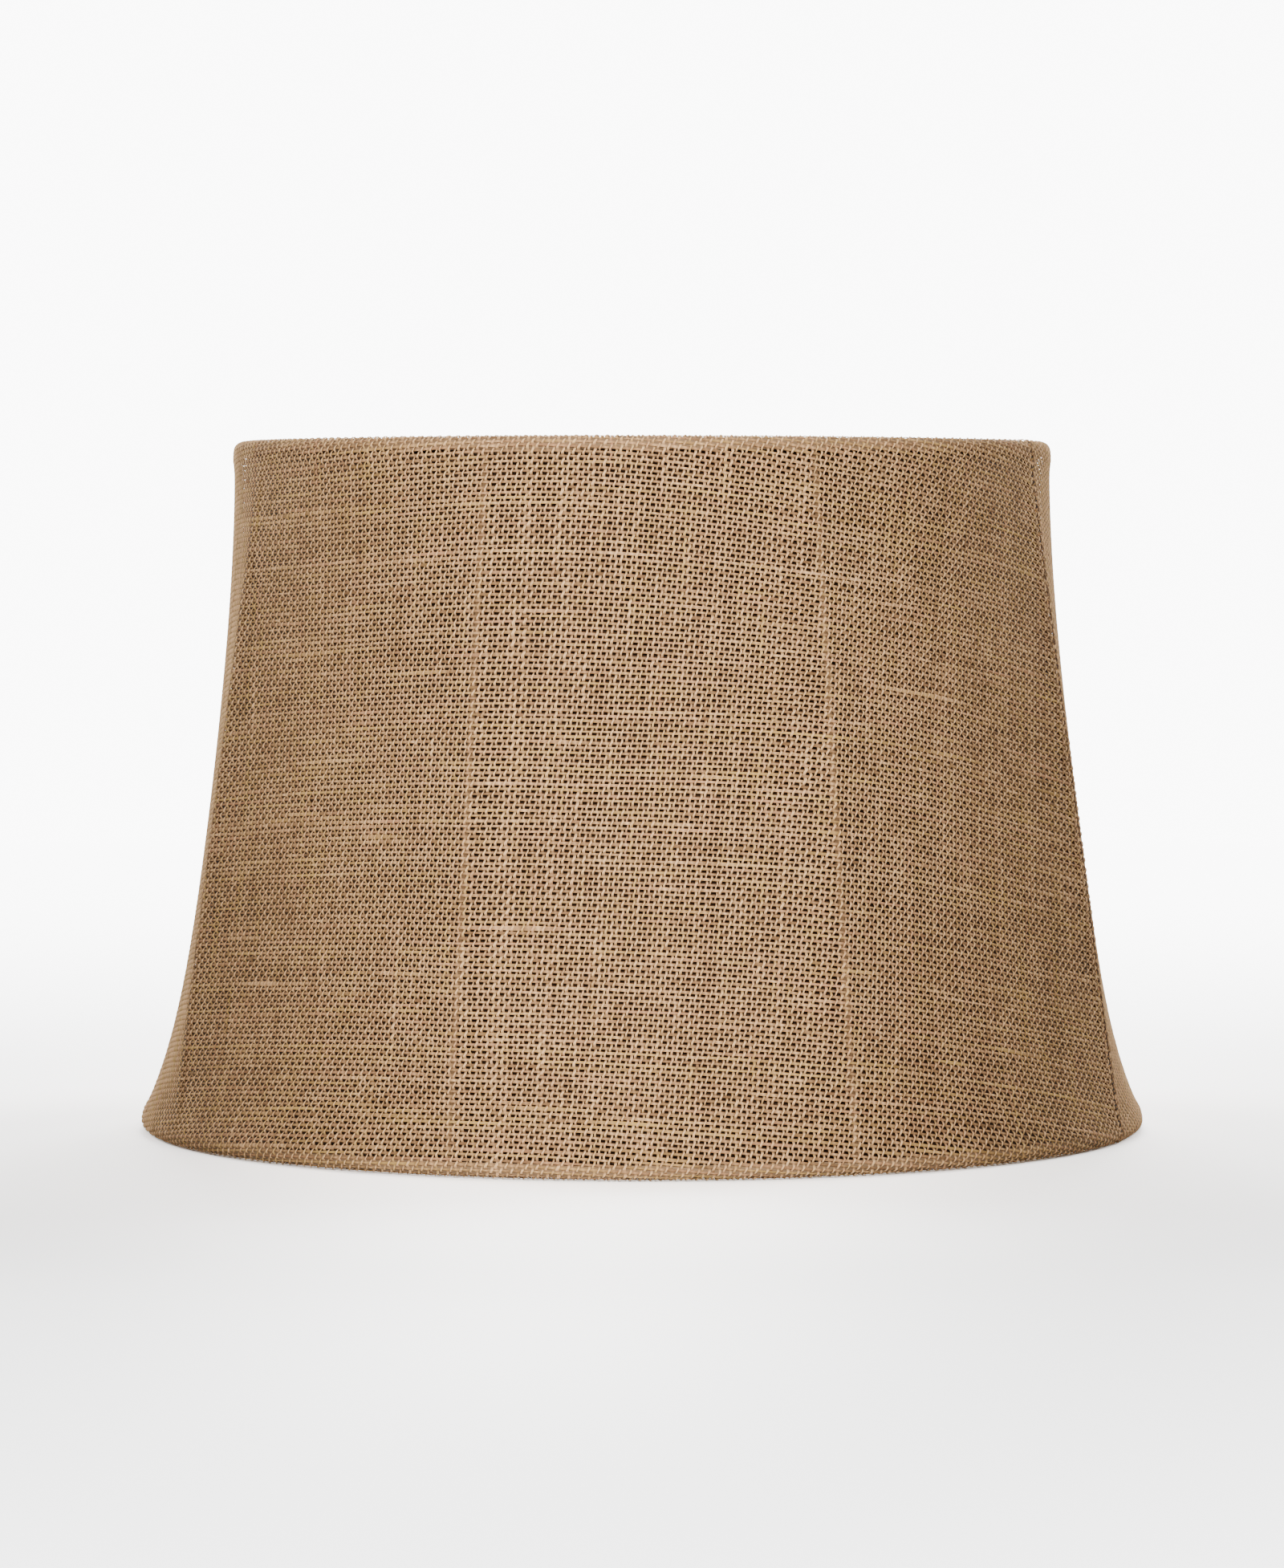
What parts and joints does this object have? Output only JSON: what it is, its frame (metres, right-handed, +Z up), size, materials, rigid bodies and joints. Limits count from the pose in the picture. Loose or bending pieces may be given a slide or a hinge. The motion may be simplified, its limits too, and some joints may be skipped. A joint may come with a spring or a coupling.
{
  "type": "lamp shade",
  "caption": "Round tapered softback lamp shade in natural burlap, on a ribbed wire frame with a spider fitter that sits under a finial.",
  "frame": {"origin": "middle of the plane that the bottom hem rests on", "axes": "+Z up towards the fitter end; -Y is the front, the middle of the front panel"},
  "size_m": [0.4064, 0.4064, 0.2768],
  "materials": {
    "cover_burlap": "open plain-weave jute burlap, natural tan",
    "lining_cloth": "plain fine-woven tan lining",
    "binding_tape": "unbleached cotton tape",
    "frame_wire": "lacquered steel wire",
    "spider_wire": "brass-plated steel wire",
    "spider_washer": "brass-plated pressed steel"
  },
  "bodies": {
    "root": {"top_ring": "frame_wire", "bottom_ring": "frame_wire", "rib_1": "frame_wire", "rib_2": "frame_wire", "rib_3": "frame_wire", "rib_4": "frame_wire", "rib_5": "frame_wire", "rib_6": "frame_wire", "rib_7": "frame_wire", "rib_8": "frame_wire", "spider_arm_1": "spider_wire", "spider_arm_2": "spider_wire", "spider_arm_3": "spider_wire", "spider_washer": "spider_washer", "top_ring_binding": "binding_tape", "bottom_ring_binding": "binding_tape", "lining_front_half": "lining_cloth", "lining_back_half": "lining_cloth", "cover_front_half": "cover_burlap", "cover_back_half": "cover_burlap"}
  },
  "joints": []
}
